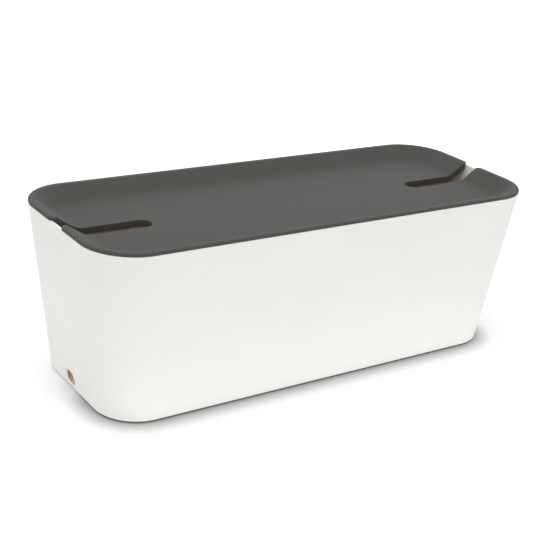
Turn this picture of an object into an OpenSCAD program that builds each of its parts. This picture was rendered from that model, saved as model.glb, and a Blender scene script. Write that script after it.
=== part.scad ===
// Cable management box: a tapered moulded box with a lift-off lid.
// The lid is a shallow tray. Its rim stands on the box wall, and a slot at each
// end lets the cables of the sockets inside run out through the middle of the rim.
// An oval hole with a trumpet-shaped edge, low in each end wall, lets the mains lead in.
// Millimetres. +Z is up and Z = 0 is the surface that the feet stand on.
// X runs along the long side, and the origin is under the middle of the box.

/* [Box] */
// Length over the top of the walls
box_l = 406; // [380:1:430]
// Width over the top of the walls
box_w = 158; // [150:1:175]
// Height of the walls, floor included
box_h = 136; // [115:1:160]
// How far each end wall leans in from top to bottom
end_taper = 17.5; // [10:0.5:24]
// How far each long wall leans in from top to bottom
side_taper = 11; // [6:1:16]
// Corner radius in plan at the top
top_corner = 39; // [35:1:45]
// Corner radius in plan at the bottom
base_corner = 34; // [28:0.5:36]
// Wall thickness
wall = 2.5; // [2.3:0.1:3]
// Floor thickness
floor_t = 2; // [1.8:0.1:2.5]
// Radius of the rounded edge where the walls meet the floor
base_round = 1.5; // [1:0.1:2.5]

/* [Cable exits] */
// Width of the oval hole that the mains lead passes through
exit_w = 14.5; // [12:0.5:20]
// Height of the oval hole
exit_h = 10.5; // [9:0.5:12]
// Height of the hole's centre above the underside of the box
exit_up = 7; // [6.5:0.5:14]
// Distance of the hole from the middle of the end wall, towards the rear
exit_side = 7; // [0:0.5:10]
// How far the hole's outer edge flares out all round
exit_flare = 4.5; // [2:0.1:6]
// Depth of that flare into the wall
flare_depth = 2.2; // [1:0.1:2.2]

/* [Lid] */
// Height of the rim above the wall that it stands on
rim_h = 2.5; // [2:0.1:3]
// Width of the level top of the rim
rim_w = 5; // [4.5:0.1:6]
// Radius of the rim's outer top edge
rim_round = 1.4; // [0.8:0.1:1.8]
// Depth of the tray below the rim
dish_depth = 10.7; // [9:0.1:12]
// Slope of the tray's side below the rim
dish_slope = 33; // [30:1:40]
// Radius of the bend from the rim into the slope
crease_round = 2.6; // [1.5:0.1:3]
// Radius of the bend from the slope into the tray's floor
cove_round = 16; // [10:1:20]
// Thickness of the tray's floor
lid_t = 2.5; // [2:0.1:3]
// Depth of the locating lip inside the wall
lip_h = 3.4; // [2.5:0.1:4]
// Thickness of the locating lip
lip_t = 3; // [2:0.1:4]
// Clearance between the locating lip and the wall at the seam
lip_gap = 0.9; // [0.7:0.1:1.2]

/* [Slots] */
// Width of each cable slot
slot_w = 15; // [12:0.5:18]
// Length of each slot, measured in from the outside of the rim
slot_l = 78; // [60:1:90]
// Radius of the corners at each slot's mouth
mouth_round = 6; // [3:0.5:7]
// Thickness of the lip that is turned down round each slot
slot_lip_t = 2.2; // [1.8:0.1:3]
// How far that lip hangs below the tray's floor
slot_lip_h = 2.7; // [1.5:0.1:4]

/* [Feet] */
// Diameter of each stick-on foot
foot_d = 14; // [10:1:18]
// Thickness of each foot
foot_t = 1.8; // [1.5:0.1:2.5]
// Depth of the recess that each foot sits in
foot_sink = 0.8; // [0.6:0.1:1]
// Distance of the feet from the middle along the length
foot_x = 150; // [130:1:158]
// Distance of the feet from the middle across the width
foot_y = 45; // [35:1:50]

/* [Hidden] */

corner_fn = 64;
bore_fn = 96;
eps = 0.01;
past = 1;
// How far two solids run into each other where they join
overlap = 1;
// How far a rounding runs past the faces it joins, so that they cross cleanly
crossing = 0.1;

white = [0.93, 0.93, 0.91];
grey = [0.36, 0.35, 0.34];
black = [0.12, 0.12, 0.12];

foot_proud = foot_t - foot_sink;
base_z = foot_proud;
seam_z = base_z + box_h;
crest_z = seam_z + rim_h;
dish_z = crest_z - dish_depth;
end_lean = atan(end_taper / box_h);

// ---- box ----

// Four posts on the corner centres: a level of the tapered box, for hulls
module level(l, w, r, z) {
    for (sx = [-1, 1], sy = [-1, 1])
        translate([sx * (l / 2 - r), sy * (w / 2 - r), z])
            cylinder(h = eps, r = r, $fn = corner_fn);
}

// Outline of the box at height z, drawn in by d all round
function taper_at(z) = 1 - (z - base_z) / box_h;
function level_l(z, d) = box_l - 2 * end_taper * taper_at(z) - 2 * d;
function level_w(z, d) = box_w - 2 * side_taper * taper_at(z) - 2 * d;
function level_r(z, d) = top_corner - (top_corner - base_corner) * taper_at(z) - d;

module level_at(z, d) {
    level(level_l(z, d), level_w(z, d), level_r(z, d), z);
}

// A tapered body from z0 up to z1, drawn in by d, with its lower edge rounded by r
module tapered_body(z0, z1, d, r) {
    steps = 5;
    hull() {
        level_at(z1 - eps, d);
        for (k = [0 : steps]) {
            turn = 90 * k / steps;
            level_at(z0 + r * (1 - sin(turn)), d + r * (1 - cos(turn)));
        }
    }
}

// Half section of the exit's cutter: x is the distance from the axis and y the depth
function trumpet(half) = concat(
    [[0, -past], [half + exit_flare, -past]],
    [for (k = [0 : 10]) let (turn = 90 * k / 10)
        [half + exit_flare * (1 - sin(turn)), flare_depth * (1 - cos(turn))]],
    [[half, wall + 2 * past], [0, wall + 2 * past]]);

// An oval hole that opens outwards in a trumpet shape
module exit_cutter() {
    half = exit_h / 2;
    run = exit_w - exit_h;
    for (end = [-1, 1])
        translate([end * run / 2, 0, 0])
            rotate_extrude($fn = bore_fn)
                polygon(trumpet(half));
    rotate([90, 0, 90])
        linear_extrude(height = run, center = true)
            for (m = [0, 1])
                mirror([m, 0]) polygon(trumpet(half));
}

// Puts its children on an end wall's outer face, with +Z pointing into the box
module on_end_wall(side) {
    wall_x = level_l(base_z + exit_up, 0) / 2;
    translate([side * wall_x, exit_side, base_z + exit_up])
        rotate([0, -side * (90 - end_lean), 0])
            rotate([0, 0, 90])
                children();
}

module box() {
    color(white)
    difference() {
        tapered_body(base_z, seam_z, 0, base_round);
        tapered_body(base_z + floor_t, seam_z + past, wall, base_round);
        for (side = [-1, 1])
            on_end_wall(side) exit_cutter();
        for (sx = [-1, 1], sy = [-1, 1])
            translate([sx * foot_x, sy * foot_y, base_z - past])
                cylinder(h = foot_sink + past, d = foot_d, $fn = bore_fn);
    }
}

// ---- lid ----

// An arc's points from angle a0 to a1 round [x, y]
function arc(x, y, r, a0, a1, n) = [for (k = [0 : n]) let (a = a0 + (a1 - a0) * k / n)
    [x + r * cos(a), y + r * sin(a)]];

// Rounds a section to the micron, so that its straights and its corners meet exactly
function micron(points) = [for (p = points) [round(p[0] * 1000) / 1000, round(p[1] * 1000) / 1000]];

// Where the slope starts and ends, measured in from the outside of the rim
crease_run = crease_round * tan(dish_slope / 2);
cove_run = cove_round * tan(dish_slope / 2);
slope_run = dish_depth / tan(dish_slope);
floor_start = rim_w + slope_run + cove_run;
lip_in = wall + lip_gap;
band_t = lid_t + slot_lip_h;

// Top and underside of the tray's side, where x is the distance in from the outside.
// The underside lies t below the top, measured square to it.
function tray_top(floor_run) = concat(
    arc(rim_w - crease_run, crest_z - crease_round, crease_round, 90, 90 - dish_slope, 5),
    arc(floor_start, dish_z + cove_round, cove_round, 270 - dish_slope, 270, 8),
    [[floor_run, dish_z]]);
function tray_under(floor_run, t) = concat(
    [[floor_run, dish_z - t]],
    arc(floor_start, dish_z + cove_round, cove_round + t, 270, 270 - dish_slope, 8));

// Section of the rim, the tray's side and the locating lip
function rim_section(floor_run) = micron(concat(
    [[0, seam_z]],
    arc(rim_round, crest_z - rim_round, rim_round, 180, 90, 5),
    tray_top(floor_run),
    tray_under(floor_run, lid_t),
    [[lip_in + lip_t, seam_z - lip_h], [lip_in, seam_z - lip_h], [lip_in, seam_z]]));

// Section of the band that hangs below the tray beside a slot, down to a thickness of t.
// It follows the tray's side, and its top is buried in the tray.
function band_section(floor_run, t) = micron(concat(
    [[floor_run, dish_z - lid_t / 2]],
    tray_under(floor_run, t),
    [[lip_in + lip_t / 2, band_under(lip_in + lip_t / 2, t)],
     [lip_in + lip_t / 2, band_under(lip_in + lip_t / 2, lid_t / 2)],
     [rim_w + slope_run - lid_t / 2 * tan(dish_slope / 2), dish_z - lid_t / 2]]));
function band_under(x, t) = crest_z - t / cos(dish_slope) - (x - rim_w) * tan(dish_slope);

function flip(points) = [for (p = points) [-p[0], p[1]]];

// Draws a section out along an end of the rim, over the given length
module on_end_rim(side, length) {
    translate([side * box_l / 2, 0, 0])
        rotate([90, 0, side > 0 ? 0 : 180])
            linear_extrude(height = length, center = true)
                children();
}

module lid() {
    run_x = box_l / 2 - top_corner;
    run_y = box_w / 2 - top_corner;
    color(grey)
    difference() {
        union() {
            for (turn = [0 : 3]) {
                sx = (turn == 0 || turn == 3) ? 1 : -1;
                sy = (turn < 2) ? 1 : -1;
                translate([sx * run_x, sy * run_y, 0])
                    rotate([0, 0, 90 * turn])
                        rotate_extrude(angle = 90, $fn = bore_fn)
                            polygon([for (p = rim_section(top_corner)) [top_corner - p[0], p[1]]]);
            }
            for (side = [-1, 1]) {
                on_end_rim(side, 2 * run_y) polygon(flip(rim_section(top_corner)));
                translate([0, side * box_w / 2, 0])
                    rotate([90, 0, side * 90])
                        linear_extrude(height = 2 * run_x, center = true)
                            polygon(flip(rim_section(top_corner)));
            }
            translate([-run_x, -run_y, dish_z - lid_t])
                cube([2 * run_x, 2 * run_y, lid_t]);
            for (side = [-1, 1]) {
                slot_shape(side, slot_w / 2 + slot_lip_t, dish_z - band_t, dish_z - lid_t / 2, floor_start);
                on_end_rim(side, slot_w + 2 * slot_lip_t)
                    polygon(flip(band_section(floor_start + overlap, band_t)));
            }
        }
        for (side = [-1, 1]) {
            slot_shape(side, slot_w / 2, dish_z - band_t - past, crest_z + past, -past);
            slot_mouth(side);
        }
    }
}

// A straight slot with a round inner end, from edge_in inside the rim's outer face
module slot_shape(side, half, z0, z1, edge_in) {
    round_x = box_l / 2 - slot_l + slot_w / 2;
    translate([side * round_x, 0, z0])
        cylinder(h = z1 - z0, r = half, $fn = bore_fn);
    translate([side > 0 ? round_x : -(box_l / 2 - edge_in), -half, z0])
        cube([box_l / 2 - edge_in - round_x, 2 * half, z1 - z0]);
}

// The slot's mouth: its two corners are rounded off
module slot_mouth(side) {
    z0 = seam_z - lip_h - past;
    tall = lip_h + rim_h + 2 * past;
    reach = slot_w / 2 + mouth_round;
    difference() {
        translate([side > 0 ? box_l / 2 - mouth_round : -box_l / 2 - past, -reach, z0])
            cube([mouth_round + past, 2 * reach, tall]);
        for (sy = [-1, 1])
            translate([side * (box_l / 2 - mouth_round), sy * reach, z0 - past])
                cylinder(h = tall + 2 * past, r = mouth_round + crossing, $fn = bore_fn);
    }
}

// ---- feet ----

module foot(sx, sy) {
    color(black)
    translate([sx * foot_x, sy * foot_y, 0]) {
        cylinder(h = foot_proud, d1 = foot_d - 1.6, d2 = foot_d - 0.6, $fn = bore_fn);
        translate([0, 0, foot_proud])
            cylinder(h = foot_sink, d = foot_d - 0.6, $fn = bore_fn);
    }
}

module foot_front_left() { foot(-1, -1); }
module foot_front_right() { foot(1, -1); }
module foot_rear_left() { foot(-1, 1); }
module foot_rear_right() { foot(1, 1); }

box();
lid();
foot_front_left();
foot_front_right();
foot_rear_left();
foot_rear_right();
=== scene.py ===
import math

import bmesh
import bpy
from mathutils import Matrix, Vector


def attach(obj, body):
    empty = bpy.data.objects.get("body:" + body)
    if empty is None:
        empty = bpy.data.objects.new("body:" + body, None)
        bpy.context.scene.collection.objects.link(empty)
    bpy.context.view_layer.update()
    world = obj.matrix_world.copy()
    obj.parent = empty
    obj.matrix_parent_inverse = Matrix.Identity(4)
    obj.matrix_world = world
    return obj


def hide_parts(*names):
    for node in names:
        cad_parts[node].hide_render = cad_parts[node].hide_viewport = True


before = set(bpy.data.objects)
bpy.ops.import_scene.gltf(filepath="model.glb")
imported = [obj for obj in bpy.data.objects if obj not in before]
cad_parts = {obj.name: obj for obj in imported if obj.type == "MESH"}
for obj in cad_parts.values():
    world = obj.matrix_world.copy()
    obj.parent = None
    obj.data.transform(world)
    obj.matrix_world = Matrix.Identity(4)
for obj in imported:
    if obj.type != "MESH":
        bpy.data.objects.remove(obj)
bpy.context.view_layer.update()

# ---------------------------------------------------------------- the camera
# It stands in front of the left-hand end and looks down on the lid at 22 degrees.
# Its place was worked out from the outline, the seam and the slots in the photograph.

turn, tip, roll = math.radians(-35.75), math.radians(22.20), math.radians(5.01)
back = Vector((math.sin(turn) * math.cos(tip), -math.cos(turn) * math.cos(tip), math.sin(tip)))
level = Vector((math.cos(turn), math.sin(turn), 0))
upright = back.cross(level)
right = level * math.cos(roll) + upright * math.sin(roll)
up = upright * math.cos(roll) - level * math.sin(roll)
eye = back * 0.98785 - level * 0.00975 + upright * 0.06373

camera = bpy.data.objects.new("camera", bpy.data.cameras.new("camera"))
camera.data.sensor_width = 36
camera.data.lens = 77.63
camera.data.clip_start = 0.02
camera.data.clip_end = 60
camera.matrix_world = Matrix(((right.x, up.x, back.x, eye.x), (right.y, up.y, back.y, eye.y),
                              (right.z, up.z, back.z, eye.z), (0, 0, 0, 1)))
bpy.context.collection.objects.link(camera)
bpy.context.scene.camera = camera
bpy.context.scene.view_settings.view_transform = "Standard"

# ---------------------------------------------------------------- the box
# One injection moulding in white plastic, open at the top, with walls that lean out
# so that it leaves its mould. It has a finely textured skin, a crisp base edge and an
# oval cable hole with a flared edge low in each end wall.

base_z, seam_z = 0.001, 0.137
box_length, box_width, box_corner = 0.406, 0.158, 0.039
base_length, base_width, base_corner = 0.371, 0.136, 0.034
wall_thickness, floor_thickness, base_round = 0.0025, 0.002, 0.0015
box_edge, corner_steps = 0.0003, 24


def corner_posts(length, width, radius):
    """The centres of the four rounded corners of a plan."""
    return {(sx, sy): Vector((sx * (length / 2 - radius), sy * (width / 2 - radius), 0))
            for sx in (-1, 1) for sy in (-1, 1)}


def tapered_tub(inset, floor_z):
    """The outside or the inside skin of the box, drawn in by inset, with no top."""
    def plan(z):
        fall = (seam_z - z) / (seam_z - base_z)
        return (box_length - (box_length - base_length) * fall - 2 * inset,
                box_width - (box_width - base_width) * fall - 2 * inset,
                box_corner - (box_corner - base_corner) * fall - inset)
    length, width, radius = plan(seam_z)
    low_length, low_width, low_radius = plan(floor_z)
    tub = bmesh.new()
    bmesh.ops.create_cube(tub, size=1)
    bmesh.ops.scale(tub, vec=(length, width, seam_z - floor_z), verts=tub.verts)
    bmesh.ops.translate(tub, vec=(0, 0, (seam_z + floor_z) / 2), verts=tub.verts)
    uprights = [e for e in tub.edges if abs(e.verts[0].co.z - e.verts[1].co.z) > 0.05]
    bmesh.ops.bevel(tub, geom=uprights, offset=radius, segments=corner_steps, profile=0.5,
                    affect="EDGES", material=-1)
    high, low = corner_posts(length, width, radius), corner_posts(low_length, low_width, low_radius)
    for side, post in high.items():
        foot = [v for v in tub.verts if v.co.z < floor_z + 0.01
                and v.co.x * side[0] > 0 and v.co.y * side[1] > 0]
        bmesh.ops.scale(tub, vec=(low_radius / radius, low_radius / radius, 1), verts=foot,
                        space=Matrix.Translation(-post))
        bmesh.ops.translate(tub, vec=low[side] - post, verts=foot)
    top = [f for f in tub.faces if f.normal.z > 0.9]
    bmesh.ops.delete(tub, geom=top, context="FACES")
    low_edges = [e for e in tub.edges if all(v.co.z < floor_z + 0.001 for v in e.verts)]
    bmesh.ops.bevel(tub, geom=low_edges, offset=base_round, segments=6, profile=0.5,
                    affect="EDGES", material=-1)
    return tub


def new_vertices(made):
    """The vertices of what an extrusion or a spin made."""
    return [g for g in made if isinstance(g, bmesh.types.BMVert)]


def new_edges(made):
    """The edges of what an extrusion or a spin made."""
    return [g for g in made if isinstance(g, bmesh.types.BMEdge)]


def piece_from(shape, name):
    """An object made from a bmesh, which is used up."""
    mesh = bpy.data.meshes.new(name)
    shape.to_mesh(mesh)
    shape.free()
    piece = bpy.data.objects.new(name, mesh)
    bpy.context.collection.objects.link(piece)
    return piece


def apply_modifiers(piece):
    """Puts what the modifiers make into the piece's own mesh."""
    finished = piece.evaluated_get(bpy.context.evaluated_depsgraph_get())
    made = bpy.data.meshes.new_from_object(finished)
    made.name = piece.name
    piece.modifiers.clear()
    piece.data = made


def cut_or_join(piece, tool, operation):
    """Cuts the tool out of the piece, or joins it on, and clears the tool away."""
    boolean = piece.modifiers.new("cut", "BOOLEAN")
    boolean.operation, boolean.solver, boolean.object = operation, "EXACT", tool
    apply_modifiers(piece)
    bpy.data.objects.remove(tool)


def round_edges(piece, width):
    """Merges what the cuts left too close, rounds the sharp edges and keeps the flats flat."""
    shape = bmesh.new()
    shape.from_mesh(piece.data)
    bmesh.ops.remove_doubles(shape, verts=shape.verts, dist=0.00002)
    shape.to_mesh(piece.data)
    shape.free()
    bevel = piece.modifiers.new("edges", "BEVEL")
    bevel.width, bevel.segments, bevel.limit_method = width, 2, "ANGLE"
    bevel.angle_limit = math.radians(40)
    bevel.use_clamp_overlap = False
    apply_modifiers(piece)
    piece.data.shade_smooth()
    normals = piece.modifiers.new("flats", "WEIGHTED_NORMAL")
    normals.keep_sharp = True


outside, inside = tapered_tub(0, base_z), tapered_tub(wall_thickness, base_z + floor_thickness)
bmesh.ops.reverse_faces(inside, faces=inside.faces)
spare = bpy.data.meshes.new("inside")
inside.to_mesh(spare)
inside.free()
outside.from_mesh(spare)
bpy.data.meshes.remove(spare)
bmesh.ops.bridge_loops(outside, edges=[e for e in outside.edges if e.is_boundary])
bmesh.ops.recalc_face_normals(outside, faces=outside.faces)
box = piece_from(outside, "box_shell")

hole_width, hole_height, hole_up, hole_side = 0.0145, 0.0105, 0.007, 0.007
flare, flare_depth = 0.0045, 0.0022
cut_before, cut_beyond = 0.002, 0.001
overhang, wall_height = (box_length - base_length) / 2, seam_z - base_z
lean, wall_x = math.atan(overhang / wall_height), base_length / 2 + overhang * hole_up / wall_height
half, run = hole_height / 2, (hole_width - hole_height) / 2
curve = [math.radians(a) for a in range(9, 91, 9)]
steps = ([(half + flare, 0)]
         + [(half + flare * (1 - math.sin(a)), flare_depth * (1 - math.cos(a))) for a in curve]
         + [(half, wall_thickness + cut_beyond)])
for end in (-1, 1):
    plug = bmesh.new()
    ring = bmesh.ops.create_circle(plug, segments=64, radius=half + flare,
                                   matrix=Matrix.Rotation(math.radians(360 / 128), 4, "Z"))["verts"]
    for way in (-1, 1):
        bmesh.ops.translate(plug, vec=(way * run, 0, 0), verts=[v for v in ring if v.co.x * way > 0])
    bmesh.ops.translate(plug, vec=(0, 0, -cut_before), verts=ring)
    reach, depth = half + flare, -cut_before
    edges = list(plug.edges)
    for next_reach, next_depth in steps:
        grown = bmesh.ops.extrude_edge_only(plug, edges=edges)["geom"]
        ring, edges = new_vertices(grown), new_edges(grown)
        for way in (-1, 1):
            bmesh.ops.scale(plug, vec=(next_reach / reach, next_reach / reach, 1),
                            verts=[v for v in ring if v.co.x * way > 0],
                            space=Matrix.Translation((-way * run, 0, 0)))
        bmesh.ops.translate(plug, vec=(0, 0, next_depth - depth), verts=ring)
        reach, depth = next_reach, next_depth
    bmesh.ops.holes_fill(plug, edges=[e for e in plug.edges if e.is_boundary], sides=0)
    place = (Matrix.Translation((end * wall_x, hole_side, base_z + hole_up))
             @ Matrix.Rotation(-end * (math.radians(90) - lean), 4, "Y")
             @ Matrix.Rotation(math.radians(90), 4, "Z"))
    bmesh.ops.transform(plug, matrix=place, verts=plug.verts)
    bmesh.ops.recalc_face_normals(plug, faces=plug.faces)
    cut_or_join(box, piece_from(plug, "plug"), "DIFFERENCE")
round_edges(box, box_edge)


class Wire:
    """A socket in a shader's tree. Its sums are written as Python sums."""
    def __init__(self, tree, socket=None):
        self.tree, self.socket = tree, socket

    def add(self, kind, sockets, out=0, **settings):
        """Adds a node to the tree, with its settings and the values or wires of its sockets."""
        made = self.tree.nodes.new(kind)
        for key, value in settings.items():
            setattr(made, key, value)
        self.fill(made, sockets)
        return Wire(self.tree, made.outputs[out])

    def fill(self, made, sockets):
        """Gives a node's sockets, by their order, number or name, their values or wires."""
        for key, value in sockets.items() if isinstance(sockets, dict) else enumerate(sockets):
            if isinstance(value, Wire):
                self.tree.links.new(value.socket, made.inputs[key])
            else:
                made.inputs[key].default_value = value

    def math(self, operation, *values):
        return self.add("ShaderNodeMath", values, operation=operation)

    def __add__(self, other): return self.math("ADD", self, other)
    def __radd__(self, other): return self.math("ADD", other, self)
    def __sub__(self, other): return self.math("SUBTRACT", self, other)
    def __rsub__(self, other): return self.math("SUBTRACT", other, self)
    def __mul__(self, other): return self.math("MULTIPLY", self, other)
    def __rmul__(self, other): return self.math("MULTIPLY", other, self)


def finish_called(name):
    """A new material, the start of its tree's wires and its own shader."""
    material = bpy.data.materials.new(name)
    material.use_nodes = True
    tree = material.node_tree
    return material, Wire(tree), tree.nodes["Principled BSDF"]


white_plastic, paint, skin = finish_called("white_moulded_plastic")
place = paint.add("ShaderNodeTexCoord", {}, out="Object")
cloud = paint.add("ShaderNodeTexNoise", {"Vector": place, "Scale": 14.0, "Detail": 3.0, "Roughness": 0.55})
spark = paint.add("ShaderNodeTexNoise", {"Vector": place, "Scale": 2600.0, "Detail": 2.0, "Roughness": 0.6})
duller, whiter = (0.80, 0.792, 0.770, 1), (0.84, 0.834, 0.815, 1)
tone = paint.add("ShaderNodeMix", {0: cloud, 6: duller, 7: whiter}, out=2, data_type="RGBA")
bump = paint.add("ShaderNodeBump", {"Strength": 0.25, "Distance": 0.00004, "Height": spark})
paint.fill(skin, {"Base Color": tone, "Roughness": 0.36 + cloud * 0.06 + spark * 0.05, "Normal": bump,
                  "IOR": 1.49, "Subsurface Weight": 0.15, "Subsurface Radius": (1.0, 0.7, 0.5),
                  "Subsurface Scale": 0.0008})

# The inside skin has the same plastic with a faint warm glow painted on as emission, which stands in for
# light coming through the walls. The painted glow is stronger low down, and strongest, as a painted pool of
# light, by the cable holes.
painted_glow = white_plastic.copy()
painted_glow.name = "white_plastic_lit_through"
paint = Wire(painted_glow.node_tree)
high_glow, low_glow, hole_glow, glow_amber = 0.022, 0.045, 0.115, (1.0, 0.60, 0.28)
place = paint.add("ShaderNodeTexCoord", {}, out="Object")
height = paint.add("ShaderNodeSeparateXYZ", [place], out=2)
fade = paint.add("ShaderNodeMapRange", [height, 0.015, 0.12, low_glow, high_glow],
                 interpolation_type="SMOOTHSTEP")
folded = paint.add("ShaderNodeVectorMath", [place], operation="ABSOLUTE")
pool_middle = (0.176, hole_side, base_z + floor_thickness)
from_hole = paint.add("ShaderNodeVectorMath", [folded, pool_middle], out=1, operation="DISTANCE")
pool = paint.add("ShaderNodeMapRange", [from_hole, 0.008, 0.04, hole_glow, 0.0],
                 interpolation_type="SMOOTHSTEP")
painted_glow_colour = paint.add("ShaderNodeVectorMath", {0: glow_amber, "Scale": fade + pool}, operation="SCALE")
paint.fill(paint.tree.nodes["Principled BSDF"], {"Emission Color": painted_glow_colour, "Emission Strength": 1.0})

# Faces inside the box and on its floor take the painted glow; the faces of the cable holes keep the plain
# plastic.
box.data.materials.clear()
box.data.materials.append(white_plastic)
box.data.materials.append(painted_glow)
hole_centre, hole_reach = Vector((hole_side, base_z + hole_up)), hole_width / 2 + flare
for face in box.data.polygons:
    inwards = face.normal.x * face.center.x + face.normal.y * face.center.y < -0.0005
    on_floor = face.normal.z > 0.5 and face.center.z < 0.05
    in_hole = abs(face.center.x) > base_length / 2 - 0.004 and all(
        (Vector(box.data.vertices[k].co[1:]) - hole_centre).length < hole_reach for k in face.vertices)
    face.material_index = int(not in_hole and (inwards or on_floor))
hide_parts("box")
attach(box, "box")

# ---------------------------------------------------------------- the lid
# One moulding with a dark grey soft-touch coat. Its rim stands on the box wall, its
# sides slope down to a flat tray, and a lip under the rim keeps it in place. A slot
# climbs through each end, with a band turned down beside it.

rim_height, rim_width, rim_round, rim_under = 0.0025, 0.005, 0.0014, 0.0007
dish_depth, dish_slope = 0.0107, math.radians(33)
crease_round, cove_round, lid_thickness = 0.0026, 0.016, 0.0025
lip_in, lip_thickness, lip_height = 0.0034, 0.003, 0.0034
lid_edge, merge = 0.0002, 0.000005
crest_z = seam_z + rim_height
dish_z = crest_z - dish_depth
crease_run = crease_round * math.tan(dish_slope / 2)
slope_foot = rim_width + dish_depth / math.tan(dish_slope)
floor_start = slope_foot + cove_round * math.tan(dish_slope / 2)


def arc(x, z, radius, start, end, steps):
    """Points on an arc, with angles in radians."""
    return [(x + radius * math.cos(start + (end - start) * k / steps),
             z + radius * math.sin(start + (end - start) * k / steps)) for k in range(steps + 1)]


quarter = math.pi / 2
section = ([(floor_start + 0.002, dish_z)]
           + arc(floor_start, dish_z + cove_round, cove_round,
                 3 * quarter, 3 * quarter - dish_slope, 10)
           + arc(rim_width - crease_run, crest_z - crease_round, crease_round,
                 quarter - dish_slope, quarter, 6)
           + arc(rim_round, crest_z - rim_round, rim_round, quarter, 2 * quarter, 8)
           + arc(rim_under, seam_z + rim_under, rim_under, 2 * quarter, 3 * quarter, 5)
           + [(lip_in, seam_z), (lip_in, seam_z - lip_height),
              (lip_in + lip_thickness, seam_z - lip_height)]
           + arc(floor_start, dish_z + cove_round, cove_round + lid_thickness,
                 3 * quarter - dish_slope, 3 * quarter, 10)
           + [(floor_start + 0.002, dish_z - lid_thickness)])
tray = bmesh.new()
posts = corner_posts(box_length, box_width, box_corner)
line = [tray.verts.new((box_length / 2 - x, posts[1, 1].y, z)) for x, z in section]
moving = line + [tray.edges.new(pair) for pair in zip(line, line[1:])]
straights = {(1, 1): (-2 * posts[1, 1].x, 0, 0), (-1, 1): (0, -2 * posts[1, 1].y, 0),
             (-1, -1): (2 * posts[1, 1].x, 0, 0), (1, -1): (0, 2 * posts[1, 1].y, 0)}
for corner in ((1, 1), (-1, 1), (-1, -1), (1, -1)):
    moving = bmesh.ops.spin(tray, geom=moving, cent=posts[corner], axis=(0, 0, 1), angle=quarter,
                            steps=corner_steps, use_merge=False)["geom_last"]
    moving = bmesh.ops.extrude_edge_only(tray, edges=new_edges(moving))["geom"]
    moving = [g for g in moving if not isinstance(g, bmesh.types.BMFace)]
    bmesh.ops.translate(tray, vec=straights[corner], verts=new_vertices(moving))
bmesh.ops.remove_doubles(tray, verts=tray.verts, dist=merge)
bmesh.ops.holes_fill(tray, edges=[e for e in tray.edges if e.is_boundary], sides=0)
bmesh.ops.recalc_face_normals(tray, faces=tray.faces)
lid = piece_from(tray, "lid_tray")

slot_width, slot_length, mouth_round = 0.015, 0.078, 0.006
band_width, band_depth = 0.0022, 0.0027
cut_past, mouth_past = 0.002, 0.01
slot_end = box_length / 2 - slot_length + slot_width / 2
mid_sheet, deep = lid_thickness / 2, lid_thickness + band_depth


def at_end(shape, side):
    """Turns a shape made at the right-hand end to the end that side says."""
    if side < 0:
        bmesh.ops.rotate(shape, cent=(0, 0, 0), matrix=Matrix.Rotation(math.pi, 3, "Z"),
                         verts=shape.verts)
    bmesh.ops.recalc_face_normals(shape, faces=shape.faces)
    return shape


def slot_bar(half, low, high, out_to):
    """A bar with a round inner end, as wide as the slot or as the band round it."""
    bar = bmesh.new()
    bmesh.ops.create_circle(bar, segments=64, radius=half, cap_ends=True)
    bmesh.ops.translate(bar, vec=(slot_end, 0, low), verts=bar.verts)
    grown = bmesh.ops.extrude_face_region(bar, geom=bar.faces[:])["geom"]
    bmesh.ops.translate(bar, vec=(0, 0, high - low), verts=new_vertices(grown))
    for v in bar.verts:
        if v.co.x > slot_end + 0.0001:
            v.co.x = out_to
            v.co.y = math.copysign(half, v.co.y) if abs(v.co.y) > 1e-6 else 0
    bmesh.ops.remove_doubles(bar, verts=bar.verts, dist=merge)
    bmesh.ops.dissolve_degenerate(bar, dist=merge, edges=bar.edges)
    return bar


def slope_z(inset, under):
    """The height of a line that lies under the slope's upper face."""
    return crest_z - under / math.cos(dish_slope) - (inset - rim_width) * math.tan(dish_slope)


band_top, band_foot = 0.0049, floor_start + 0.001
band_line = ([(band_foot, dish_z - mid_sheet), (band_foot, dish_z - deep)]
             + arc(floor_start, dish_z + cove_round, cove_round + deep,
                   3 * quarter, 3 * quarter - dish_slope, 10)
             + [(band_top, slope_z(band_top, deep)), (band_top, slope_z(band_top, mid_sheet)),
                (slope_foot - mid_sheet * math.tan(dish_slope / 2), dish_z - mid_sheet)])
reach = slot_width / 2 + band_width
for side in (-1, 1):
    band = bmesh.new()
    edge_face = band.faces.new([band.verts.new((box_length / 2 - x, -reach, z)) for x, z in band_line])
    grown = bmesh.ops.extrude_face_region(band, geom=[edge_face])["geom"]
    bmesh.ops.translate(band, vec=(0, 2 * reach, 0), verts=new_vertices(grown))
    cut_or_join(lid, piece_from(at_end(band, side), "band"), "UNION")
    band = slot_bar(reach, dish_z - deep, dish_z - mid_sheet, box_length / 2 - floor_start)
    cut_or_join(lid, piece_from(at_end(band, side), "band"), "UNION")

reach = slot_width / 2 + mouth_round
for side in (-1, 1):
    slot = slot_bar(slot_width / 2, dish_z - deep - cut_past, crest_z + cut_past,
                    box_length / 2 + mouth_past)
    cut_or_join(lid, piece_from(at_end(slot, side), "slot"), "DIFFERENCE")
    mouth = bmesh.new()
    bmesh.ops.create_cube(mouth, size=1)
    bmesh.ops.scale(mouth, vec=(mouth_round + cut_past, 2 * reach, 0.014), verts=mouth.verts)
    bmesh.ops.translate(mouth, vec=(box_length / 2 - mouth_round / 2 + cut_past / 2, 0, seam_z),
                        verts=mouth.verts)
    mouth = piece_from(at_end(mouth, side), "mouth")
    for way in (-1, 1):
        post = bmesh.new()
        centre = (side * (box_length / 2 - mouth_round), way * reach, seam_z)
        bmesh.ops.create_cone(post, cap_ends=True, segments=96, radius1=mouth_round + 0.0001,
                              radius2=mouth_round + 0.0001, depth=0.02,
                              matrix=Matrix.Translation(centre))
        cut_or_join(mouth, piece_from(post, "post"), "DIFFERENCE")
    cut_or_join(lid, mouth, "DIFFERENCE")
round_edges(lid, lid_edge)

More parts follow.
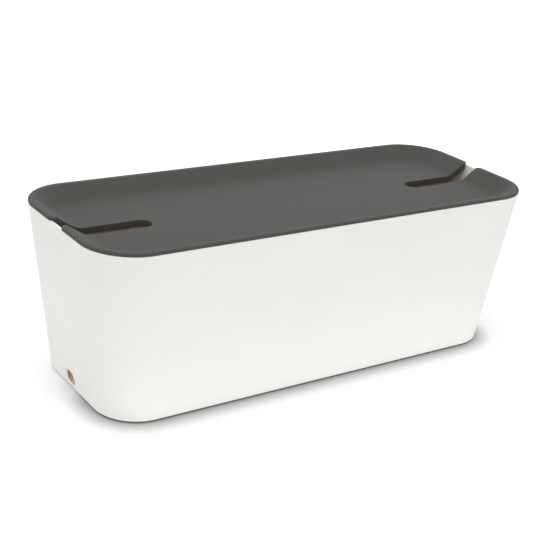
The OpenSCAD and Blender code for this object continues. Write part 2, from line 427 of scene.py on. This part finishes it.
soft_touch, paint, skin = finish_called("grey_soft_touch")
place = paint.add("ShaderNodeTexCoord", {}, out="Object")
cloud = paint.add("ShaderNodeTexNoise", {"Vector": place, "Scale": 9.0, "Detail": 4.0, "Roughness": 0.6})
grain = paint.add("ShaderNodeTexNoise", {"Vector": place, "Scale": 1900.0, "Detail": 3.0, "Roughness": 0.65})
darker, greyer = (0.0560, 0.0558, 0.0508, 1), (0.0590, 0.0588, 0.0536, 1)
tone = paint.add("ShaderNodeMix", {0: cloud, 6: darker, 7: greyer}, out=2, data_type="RGBA")
bump = paint.add("ShaderNodeBump", {"Strength": 0.35, "Distance": 0.00005, "Height": grain})
paint.fill(skin, {"Base Color": tone, "Roughness": 0.58 + cloud * 0.08 + grain * 0.06, "Normal": bump,
                  "IOR": 1.45, "Specular IOR Level": 0.35, "Sheen Weight": 0.06,
                  "Sheen Roughness": 0.45})
lid.data.materials.clear()
lid.data.materials.append(soft_touch)
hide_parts("lid")
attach(lid, "lid")

# ---------------------------------------------------------------- the feet
# Four small discs of black rubber, stuck into shallow recesses under the box. Their
# shape is the model's own, so only their finish is made here.

rubber, paint, skin = finish_called("black_foot_rubber")
place = paint.add("ShaderNodeTexCoord", {}, out="Object")
speck = paint.add("ShaderNodeTexNoise", {"Vector": place, "Scale": 900.0, "Detail": 3.0, "Roughness": 0.6})
black, dusty = (0.018, 0.018, 0.018, 1), (0.040, 0.039, 0.037, 1)
dust = paint.add("ShaderNodeMix", {0: speck, 6: black, 7: dusty}, out=2, data_type="RGBA")
bump = paint.add("ShaderNodeBump", {"Strength": 0.4, "Distance": 0.0001, "Height": speck})
paint.fill(skin, {"Base Color": dust, "Roughness": 0.62 + speck * 0.2, "Normal": bump})
for name in ("foot_front_left", "foot_front_right", "foot_rear_left", "foot_rear_right"):
    for place_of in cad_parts[name].material_slots:
        place_of.material = rubber

# ---------------------------------------------------------------- the studio
# A plain white ground under big soft lights. The camera sees the ground and the room
# as white, and the ground keeps the box's shadow, deepened in front of the box by painted shade.

ground = bmesh.new()
bmesh.ops.create_grid(ground, x_segments=1, y_segments=1, size=8)
ground = piece_from(ground, "ground")
paper, paint, skin = finish_called("white_ground")
place = paint.add("ShaderNodeTexCoord", {}, out="Object")
away = paint.add("ShaderNodeVectorMath", [place], out=1, operation="LENGTH")
sweep = paint.add("ShaderNodeMapRange", [away, 0.4, 1.2, 0.94, 0.55], interpolation_type="SMOOTHSTEP")
paint.fill(skin, {"Base Color": sweep, "Roughness": 0.9})

# What the camera sees is whiter far away, and darker close in front of the box, where an ambient-occlusion
# term paints shadow on top of the shadow the lamps cast.
near = paint.add("ShaderNodeAmbientOcclusion", {"Distance": 0.0175}, out=1, samples=16)
depth = paint.add("ShaderNodeSeparateXYZ", [place], out=1)
front = paint.add("ShaderNodeMapRange", [depth, -0.025, 0.015, 1.0, 0.0], interpolation_type="SMOOTHSTEP")
haze = paint.add("ShaderNodeMapRange", [away, 0.35, 0.8, 0.05, 0.7], interpolation_type="SMOOTHSTEP")
seen = paint.add("ShaderNodeBsdfPrincipled", {
    "Base Color": 0.98 * (1 - 1.12 * front * (1 - near)), "Specular IOR Level": 0.0,
    "Emission Color": haze, "Emission Strength": 1.0})
by_camera = paint.add("ShaderNodeLightPath", {}, out="Is Camera Ray")
choice = paint.add("ShaderNodeMixShader", [by_camera, Wire(paint.tree, skin.outputs[0]), seen])
paint.fill(paint.tree.nodes["Material Output"], {"Surface": choice})
ground.data.materials.append(paper)

room = bpy.data.worlds.new("room")
room.use_nodes = True
bpy.context.scene.world = room
paint = Wire(room.node_tree)
white = (1, 1, 1, 1)
dim = paint.tree.nodes["Background"]
paint.fill(dim, {"Color": white, "Strength": 0.96})
bright = paint.add("ShaderNodeBackground", {"Color": white, "Strength": 1.0})
seen = paint.add("ShaderNodeLightPath", {}, out="Is Camera Ray")
for other in ("Is Transmission Ray", "Is Glossy Ray"):
    seen = paint.add("ShaderNodeMath", [seen, paint.add("ShaderNodeLightPath", {}, out=other)],
                     operation="MAXIMUM")
choice = paint.add("ShaderNodeMixShader", [seen, Wire(paint.tree, dim.outputs[0]), bright])
paint.fill(paint.tree.nodes["World Output"], {"Surface": choice})


def soft_light(name, place, aim, size, power):
    """A soft light at a place, turned to a point. The camera doesn't see it."""
    lamp = bpy.data.lights.new(name, "AREA")
    lamp.shape, lamp.size, lamp.size_y, lamp.energy = "RECTANGLE", size[0], size[1], power
    stand = bpy.data.objects.new(name, lamp)
    stand.location = place
    stand.visible_camera = False
    stand.rotation_euler = (Vector(aim) - Vector(place)).to_track_quat("-Z", "Y").to_euler()
    bpy.context.collection.objects.link(stand)


soft_light("overhead", (-0.15, 0.15, 1.5), (0, 0, 0.1), (1.0, 1.0), 3.8)
soft_light("front", (-0.1, -1.8, 0.3), (0, 0, 0.07), (1.2, 0.6), 1.8)
soft_light("bounce", (-0.01, -0.097, 0.0006), (-0.01, -0.097, 1), (0.40, 0.05), 0.019)

# ---------------------------------------------------------------- the end
bpy.context.view_layer.update()
